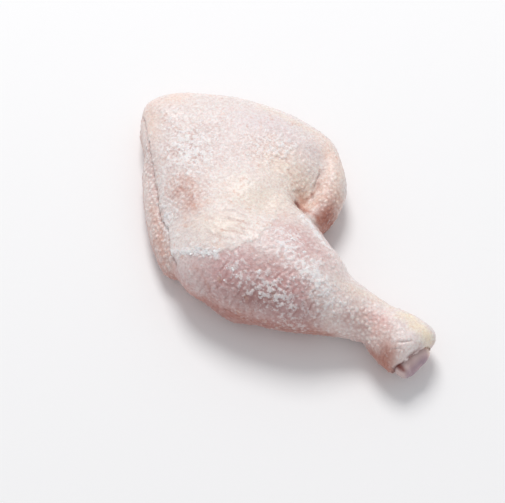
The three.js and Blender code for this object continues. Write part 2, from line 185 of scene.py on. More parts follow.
# Where each tone of the skin lies. A patch is the middle x, y, z, half the length and half the width,
# the turn in degrees, and the strength. A band is half the width, the strength, and the points of its
# line. Later tones lie over earlier ones. The raggedness is how far mottling breaks up a tone's border.
# A tone may show only beyond the fat, or lie on the sides at a strength and nowhere else.
# Some tones are partly painted light or painted shade, as said at each.
TONES = {
    "lilac": {
        "colour": "#e9dfe1", "raggedness": 0.6,
        "patches": [
            (-13.5, 82, 30.5, 23.5, 10, 10, 0.7), (-28.5, 64, 30.5, 16, 16, -53, 0.3),
            (8, 80, 29, 14, 6, -15, 0.3), (101, 0, 27, 9, 6, -25, 0.5), (72, 0, 27, 15, 8, 0, 0.3),
        ],
    },
    "cream": {
        "colour": "#f2e7dc", "raggedness": 0.5,
        "patches": [
            (4.5, 36, 36, 20, 12, 15, 0.9), (-4, 12, 42, 15, 9, 15, 0.8), (34.5, 74, 25, 12, 3.5, -71, 0.9),
        ],
        "bands": [
            (3.5, 0.8, [(60.7, 8.4, 35.4), (67.4, 11, 30.8), (74.3, 13.6, 26.3), (81.6, 15, 23.1),
                        (88.6, 14.3, 22.3)]),
            (3, 0.6, [(-20.8, 94.1, 25.5), (-3.6, 92.5, 27), (12.4, 89.6, 26.8), (24.7, 85.5, 25),
                      (33, 78, 23)]),
        ],
    },
    # Painted light on the valley's slope, where it turns from the light, over the valley's pale skin.
    "pale_skin_and_painted_light": {
        "colour": "#fff4e8", "raggedness": 0.8,
        "patches": [
            (6.5, 60, 32, 14, 9, -25, 0.9), (17, 58, 28, 10, 9, -60, 1.1), (-22, 14, 33, 10, 6, -50, 0.2),
        ],
    },
    "muscle": {
        "colour": "#d9b0b1", "raggedness": 0.7, "beyond the fat": True,
        "patches": [
            (12, -10, 35.5, 22, 14, 6, 0.82), (36, -10, 35.5, 24, 14, -3, 0.85),
            (34, 16, 38, 20, 13, -20, 0.6), (-14, -19, 24, 12, 9, -25, 0.5),
        ],
    },
    "dusk": {
        "colour": "#b3837f", "raggedness": 0.9, "beyond the fat": True,
        "patches": [
            (28, -15, 34, 14, 6, 6, 0.75), (48, -15, 23, 12, 5, 0, 0.5), (24, 0, 40, 8, 5, 0, 0.3),
        ],
        # The band along the calf's lower side is partly painted shade.
        "bands": [
            (6, 0.85, [(0.3, -20.8, 16), (13.7, -21.7, 16), (20, -21, 16), (31, -20.5, 18), (46, -17, 18)]),
        ],
    },
    # Painted shade on sides that turn down and away from the light, with the lean showing through.
    "flank_shade_and_lean": {
        "colour": "#c88c7f", "raggedness": 1.2, "on the sides": 0.7,
    },
    "peach": {
        "colour": "#f9e4d9", "raggedness": 0.7,
        "patches": [
            # The first patch is partly painted light on the far left corner, which turns from the light.
            (-73, 62, 22, 14, 5, -62, 0.9), (-66, 80, 23, 9, 4, 47, 0.7), (36, 60, 24, 12, 6, -63, 0.8),
            (27, 82, 25, 10, 6, -45, 0.8), (-30, 27, 34, 14, 11, -51, 0.25), (73, -1, 27, 18, 9, -2, 0.7),
            (-1, -1, 40, 4, 2, 10, 0.6),
        ],
        "bands": [
            (4.5, 0.5, LIP),
            (3, 0.9, [(27.3, 75.7, 26.2), (28.1, 69.8, 25.4), (29.3, 63.3, 24.9), (30.3, 57.1, 24.8),
                      (31, 52, 25)]),
        ],
    },
    "amber": {
        "colour": "#efd6bd", "raggedness": 0.9,
        "patches": [
            (22, 57, 23, 7, 3, -70, 0.2), (23, 51, 22, 5, 3.5, -40, 0.7), (36, 58, 22, 10, 5, -70, 0.25),
        ],
    },
    "tan": {
        "colour": "#dcae9e", "raggedness": 0.9,
        "patches": [
            (-35, 28, 32.5, 8, 7, -57, 0.45), (-27, 19, 33.5, 9, 6, -50, 0.5),
            (-36, 1, 15, 13, 3.5, -50, 0.45), (23, 51, 21.5, 5, 3, -31, 0.6),
            (38.5, 49, 15, 8, 5, -71, 0.8), (-73, 55, 16, 8, 2.5, -63, 0.3),
        ],
    },
    # Painted shade: under the lip, roll, shank and knuckle, in the groove and under the calf's edge.
    "brown_painted_shade": {
        "colour": "#bd7c69", "raggedness": 0.8,
        "patches": [
            (97.5, -13.5, 15, 10, 7, -80, 0.95), (39, 46, 12, 7, 6, 63, 0.9), (-75, 54, 12, 8, 2.5, -63, 0.3),
            (26, 48, 20, 4, 2, -30, 0.5),
        ],
        "bands": [
            (3.5, 0.5, [(-40, 2, 11), (-32, -8.3, 12), (-25.5, -11.7, 12), (-18, -17, 12)]),
            (4, 0.85, [(58, -13.5, 15), (72, -11, 12), (83, -9, 12), (89.3, -11, 14), (94.6, -13, 16)]),
            (1.2, 0.5, [(24.6, 70, 25), (25.2, 64, 24), (25.4, 58, 22.5), (25.2, 53, 21)]),
            (1.8, 0.8, [(20.8, 48.6, 23), (24.2, 47.6, 22.3), (28.7, 45.6, 24), (33, 44, 22.5),
                        (37, 42, 18)]),
        ],
    },
    # Pale skin, with painted light where the knuckle, the shank and the lip's edge slope from the light.
    "pale": {
        "colour": "#fbf3f0", "raggedness": 0.7,
        "patches": [
            (105, -4, 27, 10, 7, -25, 1.0), (113, 2, 22, 5, 5, 0, 0.7), (60, 3, 34, 11, 6, -20, 1.0),
            (73, -5, 26, 12, 4.5, 0, 0.8), (82, 7, 28, 10, 5, 0, 0.6), (67, -1, 30, 12, 7, 0, 0.9),
        ],
        "bands": [
            (4, 0.8, [(-74, 62, 17), *LIP[:3]]),
        ],
    },
    "rose": {
        "colour": "#e3b3af", "raggedness": 0.9,
        "patches": [
            (86, 3, 27, 7, 3.5, -8, 0.6), (80, -3, 23, 12, 4, -5, 0.3),
        ],
    },
    "yellow": {
        "colour": "#fff1cf", "raggedness": 0.8,
        "bands": [
            (4, 0.6, [(97.2, 11.5, 25.7), (102.9, 9.5, 26.6), (108.2, 7.2, 26.3), (112, 5, 24),
                      (115, 4.5, 17)]),
        ],
    },
    "blood": {
        "colour": "#6d2f2b", "raggedness": 0.5,
        "patches": [(20.5, 48, 24, 3, 1.2, -20, 0.5)],
        "bands": [
            (1.0, 1.0, [(102.3, -14.6, 11), (102.8, -13.6, 15), (104.3, -11.8, 18.5), (106, -9.8, 20)]),
        ],
    },
}
# Where frost lies, where the bumps stand high, and where ice flakes are strewn, in the same way.
COVERS = {
    "frost": {
        "patches": [
            (-43, 51, 29.5, 17.5, 13.5, -62, 0.75), (-38, 14, 26, 16, 4.5, -57, 0.6),
            (-4, 70, 32, 14, 9, 25, 0.5), (30, 13, 43, 16, 8, -29, 0.6), (50, 4.5, 39, 14, 7, -23, 0.85),
            (60, 1, 31, 9, 5, -15, 0.6), (16, -10, 38, 10, 5, -21, 0.55), (34, -11, 37, 17, 7, -8, 0.6),
            (66, 1, 30, 12, 5, -2, 0.4), (-24.5, 32, 35.5, 14.5, 10.5, -63, 0.3),
        ],
        "bands": [
            (2.5, 0.8, [(28, 38, 33), (36, 33, 34), (45, 26, 34), (54, 18, 34)]),
            (2.2, 1.0, [(-26, -7.5, 24), (-20, -6, 31), (-13, -5.2, 36), (-6, -4.4, 39.3), (-1, -4.4, 40)]),
        ],
    },
    "gooseflesh": {
        "patches": [
            (77, -1.5, 26, 18, 10, 0, 0.7), (35, 57, 24, 14, 6.5, -67, 0.75),
            (18, 59.5, 26, 13, 8, -67, 0.45), (-32.5, 26.5, 33, 13, 12.5, -55, 0.6),
            (44, -7, 39.5, 20, 14, -4, 0.7), (9.5, -16, 35, 20, 14.5, 11, 0.4),
            (-3, 68, 31.5, 18, 11, 25, 0.6), (-43, 51, 29.5, 18.5, 16, -61, 0.5),
            (40, 20, 36, 18, 8, -30, 0.6),
        ],
        "bands": [
            (5, 0.8, LIP),
        ],
    },
    "ice": {
        "patches": [
            (-9.5, -5, 38, 3.5, 1.5, 0, 1.0), (-3.5, -3.5, 40, 3, 1.5, 20, 1.0),
            (12, -10, 38, 6, 3, -21, 0.5), (30, 10, 44, 12, 7, -29, 0.3), (28, -14, 36, 8, 4, 0, 0.3),
        ],
    },
}
# Families of fine wrinkles: the turn of their run in degrees, how far apart and how high they are, and
# where they lie.
WRINKLES = {
    "rising over the thigh": {
        "turn": 74, "apart": 2.3, "high": 0.16,
        "patches": [
            (-43, 51, 29.5, 17.5, 15, -62, 0.9), (-33, 26, 33, 12, 10, -57, 1.0),
            (-66, 68, 25, 12, 8, -60, 0.7),
        ],
    },
    "falling over the thigh": {
        "turn": -24, "apart": 2.2, "high": 0.16,
        "patches": [
            (-43, 51, 29.5, 17.5, 15, -62, 0.9), (-33, 26, 33, 12, 10, -57, 0.9),
            (-4, 70, 32, 16, 9, 25, 0.6),
        ],
    },
    "edge of the cream fat": {
        "turn": 3, "apart": 4.2, "high": 0.25,
        "patches": [(0, 12, 41, 15, 8, 15, 0.8), (13, 27, 40, 9, 7, 20, 0.5)],
    },
    "down the valley": {
        "turn": -31, "apart": 2.8, "high": 0.25,
        "patches": [(8, 61, 31, 14, 7, -31, 0.5), (18, 54, 25, 9, 6, -50, 0.6)],
    },
    "round the calf": {
        "turn": 68, "apart": 3.4, "high": 0.3,
        "patches": [
            (15, -14, 35, 24, 13, 6, 0.8), (44, -6, 36, 22, 12, -3, 0.8), (72, -2, 25, 16, 9, 0, 0.4),
        ],
    },
    "along the roll": {
        "turn": 62, "apart": 1.6, "high": 0.15,
        "patches": [(39, 50, 14, 9, 5, -71, 0.9)],
    },
    "round the knuckle": {
        "turn": 100, "apart": 2.2, "high": 0.2,
        "patches": [(98, -9, 22, 9, 7, -80, 0.9), (103, 1, 26, 8, 6, -20, 0.5)],
    },
}
PATCH_HEIGHT = 40  # how far up and down a patch reaches
PATCH_WANDER = {"size": 9, "reach": 2.5}  # how its border wanders
EDGE_WANDER = [{"size": 6, "reach": 3.0}, {"size": 2, "reach": 1.2}]  # how the fat's edge does
# The flakes that frost and dry skin form, as a noise that both the relief and the colours read.
FLAKES = {"Scale": 1 / (2.3 * MM), "Detail": 3.0, "Roughness": 0.65}
FLAKE_EDGE = (0.56, 0.67)  # the noise at a flake's rim and at its flat
FROST_HELP = 0.2  # how much full frost adds to that noise


# Meshes


def add_object(name, mesh):
    piece = bpy.data.objects.new(name, mesh)
    bpy.context.scene.collection.objects.link(piece)
    return piece


def merged_copy(node, name):
    """A copy of a frame node with its loose triangles joined."""
    shape = bmesh.new()
    shape.from_mesh(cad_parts[node].data)
    bmesh.ops.remove_doubles(shape, verts=shape.verts, dist=MERGE_WITHIN * MM)
    mesh = bpy.data.meshes.new(name)
    shape.to_mesh(mesh)
    shape.free()
    return add_object(name, mesh)


def add_modifier(piece, kind, **settings):
    modifier = piece.modifiers.new(kind.lower(), kind)
    for name, value in settings.items():
        setattr(modifier, name, value)


def settle_modifiers(piece):
    """Replaces a piece's mesh with what its modifiers make of it."""
    evaluated = piece.evaluated_get(bpy.context.evaluated_depsgraph_get())
    made = bpy.data.meshes.new_from_object(evaluated)
    piece.modifiers.clear()
    old, piece.data = piece.data, made
    made.name = piece.name
    bpy.data.meshes.remove(old)
    return piece


def smooth_faces(mesh):
    mesh.polygons.foreach_set("use_smooth", np.ones(len(mesh.polygons), bool))


def read_points(mesh):
    """The mesh's points and their outward directions, points in millimetres from the knee."""
    count = len(mesh.vertices)
    points, normals = np.empty(count * 3), np.empty(count * 3)
    mesh.vertices.foreach_get("co", points)
    mesh.vertex_normals.foreach_get("vector", normals)
    return points.reshape(-1, 3) / MM - KNEE, normals.reshape(-1, 3)


def write_points(mesh, points):
    mesh.vertices.foreach_set("co", ((points + KNEE) * MM).astype(np.float32).ravel())
    mesh.update()


def write_values(mesh, name, values):
    mesh.attributes.new(name, "FLOAT", "POINT").data.foreach_set("value", values.astype(np.float32))


def smoothstep(values, low, high):
    t = np.clip((values - low) / (high - low), 0, 1)
    return t * t * (3 - 2 * t)


def curve_through(points, steps=12):
    """Points along a smooth curve through the given ones."""
    p = np.array([points[0], *points, points[-1]], float)
    t = np.linspace(0, 1, steps, endpoint=False)[:, None]
    runs = [
        0.5 * (2 * b + (c - a) * t + (2 * a - 5 * b + 4 * c - d) * t**2 + (3 * b - a - 3 * c + d) * t**3)
        for a, b, c, d in zip(p, p[1:], p[2:], p[3:])
    ]
    return np.vstack([*runs, p[-1:]])


def nearest_on_line(points, line):
    """The nearest place on a line of straight runs, and how far away it is, for each point."""
    best = np.full(len(points), np.inf)
    place = np.zeros_like(points)
    for a, b in zip(line, line[1:]):
        along = b - a
        t = np.clip((points - a) @ along / (along @ along), 0, 1)
        spot = a + t[:, None] * along
        away = np.linalg.norm(points - spot, axis=1)
        closer = away < best
        best[closer] = away[closer]
        place[closer] = spot[closer]
    return place, best


def wandering(points, size, reach):
    """Points pushed about by a soft noise, so that borders drawn at them wander."""
    shift = np.array([noise.noise_vector(Vector(p / size)) for p in points])
    return points + shift * reach


def grained(points, size):
    """A soft noise at each point, from -1 to 1."""
    return np.array([noise.noise(Vector(p / size)) for p in points])


# The skin's shape


def bone_surface():
    return BVHTree.FromObject(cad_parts["leg_bone"], bpy.context.evaluated_depsgraph_get())


def draw_in_collar(points):
    """Draws the skin's cut end in round the cartilage, rounding it over like a rolled edge."""
    bone = bone_surface()
    from_cut = points - CUT_PLACE
    along = from_cut @ CUT_FACING
    lean = smoothstep(from_cut @ CUT_ACROSS, *LEAN_END)
    gaps = COLLAR_GAP["fatty end"] + (COLLAR_GAP["lean end"] - COLLAR_GAP["fatty end"]) * lean
    t = np.clip(1 + (along + COLLAR_EDGE) / COLLAR_REACH, 0, 1)
    pull = 1 - np.sqrt(1 - t**2)
    for i in np.flatnonzero(pull > LEAST_PULL):
        spot = bone.find_nearest(Vector((points[i] + KNEE) * MM))[0]
        inward = np.array(spot) / MM - KNEE - points[i]
        away = np.linalg.norm(inward)
        if away > gaps[i]:
            points[i] += inward * pull[i] * (1 - gaps[i] / away)
    return points


def close_socket(mesh):
    """Closes the skin inside the bone's socket, out of sight."""
    bone = bone_surface()
    near = SOCKET_REACH * MM
    facing = Vector(CUT_FACING)
    cut = Vector((CUT_PLACE + KNEE) * MM)
    shape = bmesh.new()
    shape.from_mesh(mesh)
    buried = {
        vert for vert in shape.verts
        if (vert.co - cut).dot(facing) < -SOCKET_DEPTH * MM and bone.find_nearest(vert.co, near)[0]
    }
    faces = [face for face in shape.faces if all(vert in buried for vert in face.verts)]
    bmesh.ops.delete(shape, geom=faces, context="FACES")
    bmesh.ops.holes_fill(shape, edges=[edge for edge in shape.edges if edge.is_boundary], sides=0)
    bmesh.ops.triangulate(shape, faces=[face for face in shape.faces if len(face.verts) > 4])
    shape.to_mesh(mesh)
    shape.free()


def beyond_line(points, line):
    """How far each point lies beyond a line seen from above, on its right-hand side, or short of it."""
    place = points[:, :2]
    best = np.full(len(points), np.inf)
    beyond = np.zeros(len(points))
    for a, b in zip(np.array(line[:-1], float), np.array(line[1:], float)):
        along = b - a
        t = np.clip((place - a) @ along / (along @ along), 0, 1)
        out = place - (a + t[:, None] * along)
        away = np.linalg.norm(out, axis=1)
        closer = away < best
        side = np.sign(out[:, 0] * along[1] - out[:, 1] * along[0])
        best[closer] = away[closer]
        beyond[closer] = (away * side)[closer]
    return beyond


def press_folds(points, normals):
    """Presses each fold into the skin. Returns the new points, and how deep in a fold each lies."""
    depth = np.zeros(len(points))
    for fold in FOLDS.values():
        line = wandering(curve_through(fold["line"]), FOLD_TURNS, fold["uneven"])
        reach = FOLD_REACH * fold["wide"]
        box = ((points > line.min(0) - reach) & (points < line.max(0) + reach)).all(1)
        here, out = points[box], normals[box]
        place, away = nearest_on_line(here, line)
        ends = np.minimum(
            np.linalg.norm(place - line[0], axis=1), np.linalg.norm(place - line[-1], axis=1)
        )
        fade = FOLD_ENDS + (1 - FOLD_ENDS) * smoothstep(ends, 0, reach)
        fade *= 1 + FOLD_BREAKS["share"] * fold["uneven"] * grained(place, FOLD_BREAKS["size"])
        press = np.exp(-((away / fold["wide"]) ** 2)) * fade
        here = here - out * (press * fold["deep"])[:, None]
        sideways = (place - here) - out * ((place - here) * out).sum(1)[:, None]
        points[box] = here + sideways * (press * fold["pinch"])[:, None]
        depth[box] = np.maximum(depth[box], press * min(1, fold["deep"] / FOLD_SHADED))
    return points, depth


def meat_at_cut(points, normals):
    """Where bare meat shows in the cut, and its fainter line along the skin's rim, partly painted shadow."""
    from_cut = points - CUT_PLACE
    out = from_cut @ CUT_FACING
    square = smoothstep(normals @ CUT_FACING, *BARE_MEAT["facing"])
    cut_face = square * smoothstep(out, *BARE_MEAT["out"])
    rim = CUT_RIM["shade"] * smoothstep(out, *CUT_RIM["out"])
    return np.maximum(cut_face * smoothstep(from_cut @ CUT_ACROSS, *BARE_MEAT["across"]), rim)


def cover_values(points, patches=(), bands=()):
    """How strongly soft patches and bands cover each point. At its given half sizes, a cover has half
    its strength."""
    cover = np.zeros(len(points))
    for x, y, z, half_long, half_wide, turn, strength in patches:
        c, s = math.cos(math.radians(turn)), math.sin(math.radians(turn))
        from_middle = points - (x, y, z)
        along = (from_middle[:, 0] * c + from_middle[:, 1] * s) / half_long
        across = (from_middle[:, 1] * c - from_middle[:, 0] * s) / half_wide
        up = from_middle[:, 2] / PATCH_HEIGHT
        cover = np.maximum(cover, strength * 0.5 ** (along**2 + across**2 + up**2))
    for half_wide, strength, line in bands:
        away = nearest_on_line(points, np.array(line, float))[1]
        cover = np.maximum(cover, strength * 0.5 ** ((away / half_wide) ** 2))
    return cover


def side_shade_and_lean(points, normals):
    """Painted shade on the sides, with the lean showing through: all down the calf's side, but only low
    down on the fatter hip's.
    """
    calf_side = smoothstep(-normals[:, 1], *SIDE_SHADE_AND_LEAN["towards the calf"])
    low = smoothstep(points[:, 2], *SIDE_SHADE_AND_LEAN["low"])
    return smoothstep(normals[:, 2], *SIDE_SHADE_AND_LEAN["upwards"]) * np.maximum(calf_side, low)


def skin_shape():
    """The flesh solid as a fine calm mesh, with its cut end drawn in and its socket closed."""
    piece = merged_copy("leg_flesh", "skin_and_meat")
    add_modifier(piece, "SUBSURF", levels=1, render_levels=1)
    add_modifier(piece, "REMESH", mode="VOXEL", voxel_size=SKIN_CELL * MM)
    settle_modifiers(piece)
    write_points(piece.data, draw_in_collar(read_points(piece.data)[0]))
    add_modifier(piece, "REMESH", mode="VOXEL", voxel_size=SKIN_CELL * MM)
    add_modifier(piece, "SMOOTH", **CALMING)
    settle_modifiers(piece)
    close_socket(piece.data)
    return piece


def raise_fat(points, normals):
    """Lifts the fat along its edge. Returns the points, and how far beyond the edge each lies."""
    strayed = points
    for wander in EDGE_WANDER:
        strayed = wandering(strayed, **wander)
    beyond = beyond_line(strayed, FAT_EDGE)
    half = FAT_STEP["half width"]
    thinning = 0.5 ** ((beyond / FAT_STEP["half high at"]) ** 2)
    ledge = FAT_STEP["high"] * smoothstep(beyond, half, -half) * thinning
    return points + normals * ledge[:, None], beyond


def store_covers(mesh, points, normals, beyond):
    """Stores on the skin how strongly each tone, cover and family of wrinkles lies on it."""
    strayed = wandering(points, **PATCH_WANDER)
    for name, spread in (TONES | COVERS).items():
        cover = cover_values(strayed, spread.get("patches", ()), spread.get("bands", ()))
        if spread.get("beyond the fat"):
            cover *= smoothstep(beyond, -FAT_BLUR, FAT_BLUR)
        if spread.get("on the sides"):
            cover = spread["on the sides"] * side_shade_and_lean(strayed, normals)
        write_values(mesh, name, cover)
    for name, family in WRINKLES.items():
        write_values(mesh, name, cover_values(points, family["patches"]))


def make_skin():
    piece = skin_shape()
    points, normals = read_points(piece.data)
    points, depth = press_folds(points, normals)
    points, beyond = raise_fat(points, normals)
    store_covers(piece.data, points, normals, beyond)
    write_values(piece.data, "fold", depth)
    write_values(piece.data, "meat", meat_at_cut(points, normals))
    points[:, 2] = np.maximum(points[:, 2], 0)
    write_points(piece.data, points)
    return piece


def lighten(piece, triangles):
    """Joins up the skin's faces where it is plainest, so that it keeps within a number of triangles."""
    count = sum(len(face.vertices) - 2 for face in piece.data.polygons)
    add_modifier(piece, "DECIMATE", ratio=min(1, triangles / count))
    settle_modifiers(piece)
    smooth_faces(piece.data)


# Materials


def linear(code):
    """An sRGB hex colour in linear light."""
    channels = [int(code[i : i + 2], 16) / 255 for i in (1, 3, 5)]
    return [c / 12.92 if c <= 0.04045 else ((c + 0.055) / 1.055) ** 2.4 for c in channels] + [1.0]


def add(tree, kind, inputs=None, output=0, **settings):
    """Adds a node and returns one of its outputs. Each input is given by its name or number, as a value
    or as the output that feeds it."""
    node = tree.nodes.new(kind)
    for name, value in settings.items():
        setattr(node, name, value)
    for key, value in (inputs or {}).items():
        if isinstance(value, bpy.types.NodeSocket):
            tree.links.new(value, node.inputs[key])
        else:
            node.inputs[key].default_value = value
    return node.outputs[output] if node.outputs else None


MIX = "ShaderNodeMix"
MATHS = "ShaderNodeMath"
RANGE = "ShaderNodeMapRange"
NOISE = "ShaderNodeTexNoise"
PAINTED = "ShaderNodeAttribute"
VECTORS = "ShaderNodeVectorMath"
SPREAD = "GeometryNodeDistributePointsOnFaces"
COVER = "GeometryNodeInputNamedAttribute"
COVER_OUTPUT = "Attribute"
# Sockets that share their names with others of their node go by number.
SHARE, UNDER, OVER, MIXED = 0, 6, 7, 2  # a colour mix's share, its two colours and its result
LEAST, MOST, DRAWN = 2, 3, 1  # a random number's limits, and its result
LAID = {"data_type": "RGBA"}  # a colour laid over another
STAINED = {"data_type": "RGBA", "blend_type": "MULTIPLY"}  # a colour darkened by another
WAVE_STEP = 2 * math.pi / 20  # a wave texture's length in its own units

# The sizes of the patterns in the materials.
MOTTLING = 5 * MM  # blotches of fat and muscle under the skin
SPECKS = 1.3 * MM  # specks of colour in the skin, and the strands of the meat
SKIN_GRAIN = 0.7 * MM
CARTILAGE_CLOUDS = 5 * MM
CARTILAGE_RIPPLES = 1.5 * MM
# How strongly the painted shade in the pits, the painted highlight on the bumps' crests, and the
# painted shade in the folds are laid on.
PIT_STRENGTH = 0.6
CREST_STRENGTH = 0.6
FOLD_STRENGTH = 0.95


def new_material(name):
    """An empty material, and the function that adds its nodes."""
    material = bpy.data.materials.new(name)
    material.use_nodes = True
    material.node_tree.nodes.clear()
    return material, partial(add, material.node_tree)


def finish_material(put, shader_inputs):
    shader = put("ShaderNodeBsdfPrincipled", shader_inputs)
    put("ShaderNodeOutputMaterial", {"Surface": shader})


def toned(put, mottling):
    """The skin's base colour with every tone laid over it in turn, painted light and shade among them, its
    border broken by the mottling.
    """
    fair = put(RANGE, {"Value": mottling, "From Min": 0.35, "From Max": 0.65})
    colour = put(MIX, {SHARE: fair, UNDER: linear("#ebe1de"), OVER: linear("#f6efec")}, MIXED, **LAID)
    blotch = put(MATHS, {0: mottling, 1: 0.5}, operation="SUBTRACT")
    for name, tone in TONES.items():
        cover = put(PAINTED, output="Fac", attribute_name=name)
        ragged = put(MATHS, {0: blotch, 1: tone["raggedness"], 2: cover}, operation="MULTIPLY_ADD")
        share = put(RANGE, {"Value": ragged, "From Min": 0.08, "From Max": 0.92})
        colour = put(MIX, {SHARE: share, UNDER: colour, OVER: linear(tone["colour"])}, MIXED, **LAID)
    return colour


def bumpy(put, colour, specks):
    """Painted highlight on the bumps' crests, and painted shade in their pits and in the creases between
    wrinkles, with ruddier specks between them.
    """
    goose = put(PAINTED, output="Fac", attribute_name="gooseflesh")
    crest = put(PAINTED, output="Fac", attribute_name="bump")
    crease = put(PAINTED, output="Fac", attribute_name="crease")
    shade_and_speck_tone = linear("#cda6a0")
    pit_shade = put(RANGE, {"Value": crest, "From Min": 0.45, "From Max": 0.0})
    pit_shade = put(MATHS, {0: pit_shade, 1: goose}, operation="MULTIPLY")
    pit_shade = put(MATHS, {0: crease, 1: pit_shade}, operation="ADD")
    pit_shade = put(MATHS, {0: pit_shade, 1: PIT_STRENGTH}, operation="MULTIPLY")
    colour = put(MIX, {SHARE: pit_shade, UNDER: colour, OVER: shade_and_speck_tone}, MIXED, **STAINED)
    crest_highlight = put(RANGE, {"Value": crest, "From Min": 0.5, "From Max": 0.95})
    crest_highlight = put(MATHS, {0: crest_highlight, 1: goose}, operation="MULTIPLY")
    crest_highlight = put(MATHS, {0: crest_highlight, 1: CREST_STRENGTH}, operation="MULTIPLY")
    colour = put(MIX, {SHARE: crest_highlight, UNDER: colour, OVER: linear("#fbf2ef")}, MIXED, **LAID)
    grain = put(RANGE, {"Value": specks, "From Min": 0.6, "From Max": 0.36, "To Max": 0.32})
    return put(MIX, {SHARE: grain, UNDER: colour, OVER: shade_and_speck_tone}, MIXED, **STAINED)


def shaded_folds(put, colour, specks):
    """Painted shade in the folds, darker the deeper they are, broken into specks."""
    fold = put(PAINTED, output="Fac", attribute_name="fold")
    fold = put(MATHS, {0: fold, 1: specks}, operation="MULTIPLY")
    fold = put(MATHS, {0: fold, 1: FOLD_STRENGTH}, operation="MULTIPLY")
    return put(MIX, {SHARE: fold, UNDER: colour, OVER: linear("#9c7673")}, MIXED, **LAID)


def flake_pattern(put, cover, pattern):
    """Where the flakes of frost and dry skin lie, which a cover helps to form."""
    flakes = put(NOISE, pattern)
    flakes = put(MATHS, {0: cover, 1: FROST_HELP, 2: flakes}, operation="MULTIPLY_ADD")
    return put(RANGE, {"Value": flakes, "From Min": FLAKE_EDGE[0], "From Max": FLAKE_EDGE[1]})


def frosted(put, colour, where, mottling, specks):
    """Frost as a thin haze, and as whiter flakes. Returns the colour, and how bright the flakes are."""
    frost = put(PAINTED, output="Fac", attribute_name="frost")
    haze = put(MATHS, {0: frost, 1: mottling}, operation="MULTIPLY")
    haze = put(RANGE, {"Value": haze, "From Min": 0.1, "From Max": 0.6, "To Max": 0.25})
    colour = put(MIX, {SHARE: haze, UNDER: colour, OVER: linear("#efebeb")}, MIXED, **LAID)
    flakes = flake_pattern(put, frost, {"Vector": where, **FLAKES})
    bright = put(RANGE, {"Value": frost, "From Min": 0.0, "From Max": 0.8, "To Min": 0.3, "To Max": 0.85})
    bright = put(MATHS, {0: flakes, 1: bright}, operation="MULTIPLY")
    gaps = put(RANGE, {"Value": specks, "From Min": 0.3, "From Max": 0.5, "To Min": 0.55, "To Max": 1.0})
    bright = put(MATHS, {0: bright, 1: gaps}, operation="MULTIPLY")
    colour = put(MIX, {SHARE: bright, UNDER: colour, OVER: linear("#fbf9f9")}, MIXED, **LAID)
    return colour, bright


def cut_open(put, colour, specks):
    """Bare meat, in dark and light strands, where it shows at the cut, and fainter along the skin's rim,
    where it is partly painted shadow.
    """
    meat = put(PAINTED, output="Fac", attribute_name="meat")
    strands = put(RANGE, {"Value": specks, "From Min": 0.35, "From Max": 0.65})
    flesh = put(MIX, {SHARE: strands, UNDER: linear("#5e2a28"), OVER: linear("#9c5c58")}, MIXED, **LAID)
    return put(MIX, {SHARE: meat, UNDER: colour, OVER: flesh}, MIXED, **LAID)


def skin_material():
    """Raw chicken skin, plucked, chilled and lightly frozen: a thin moist film over fat and muscle, which
    gives a soft pale glow, mauve where muscle lies close under it, with fine bumps and powdery frost."""
    material, put = new_material("chilled_chicken_skin")
    where = put("ShaderNodeTexCoord", output="Object")
    mottling = put(NOISE, {"Vector": where, "Scale": 1 / MOTTLING, "Detail": 6, "Roughness": 0.65})
    specks = put(NOISE, {"Vector": where, "Scale": 1 / SPECKS, "Detail": 3, "Roughness": 0.7})
    colour = toned(put, mottling)
    colour = bumpy(put, colour, specks)
    colour = shaded_folds(put, colour, specks)
    colour, bright = frosted(put, colour, where, mottling, specks)
    colour = cut_open(put, colour, specks)
    rough = put(RANGE, {"Value": bright, "To Min": 0.38, "To Max": 0.75})
    fine = put(NOISE, {"Vector": where, "Scale": 1 / SKIN_GRAIN, "Detail": 2, "Roughness": 0.6})
    bump = put("ShaderNodeBump", {"Strength": 0.9, "Distance": 0.28 * MM, "Height": fine})
    finish_material(put, {
        "Base Color": colour, "Roughness": rough, "IOR": 1.4, "Normal": bump,
        "Subsurface Weight": 0.1, "Subsurface Radius": (1.0, 0.45, 0.35), "Subsurface Scale": 1.2 * MM,
        "Coat Weight": 0.2, "Coat Roughness": 0.22,
    })
    return material


def cartilage_material():
    """Wet hyaline cartilage on the cut joint: smooth, mauve-grey and a little see-through, paler along its
    rim and at its thin tip, with a stain of blood at its lean end."""
    material, put = new_material("wet_cartilage")
    where = put("ShaderNodeTexCoord", output="Object")
    cloud = put(NOISE, {"Vector": where, "Scale": 1 / CARTILAGE_CLOUDS, "Detail": 4})
    share = put(RANGE, {"Value": cloud, "From Min": 0.35, "From Max": 0.65})
    colour = put(MIX, {SHARE: share, UNDER: linear("#ac949f"), OVER: linear("#bb9da5")}, MIXED, **LAID)
    pale = put(PAINTED, output="Fac", attribute_name="pale")
    colour = put(MIX, {SHARE: pale, UNDER: colour, OVER: linear("#ecd5ca")}, MIXED, **LAID)
    bloody = put(PAINTED, output="Fac", attribute_name="bloody")
    bloody = put(MATHS, {0: bloody, 1: share, 2: bloody}, operation="MULTIPLY_ADD", use_clamp=True)
    colour = put(MIX, {SHARE: bloody, UNDER: colour, OVER: linear("#8a4a44")}, MIXED, **LAID)
    ripple = put(NOISE, {"Vector": where, "Scale": 1 / CARTILAGE_RIPPLES, "Detail": 2})
    bump = put("ShaderNodeBump", {"Strength": 0.4, "Distance": 0.15 * MM, "Height": ripple})
    finish_material(put, {
        "Base Color": colour, "Roughness": 0.24, "IOR": 1.38, "Normal": bump,
        "Subsurface Weight": 0.15, "Subsurface Radius": (1.0, 0.8, 0.9), "Subsurface Scale": 1.2 * MM,
    })
    return material


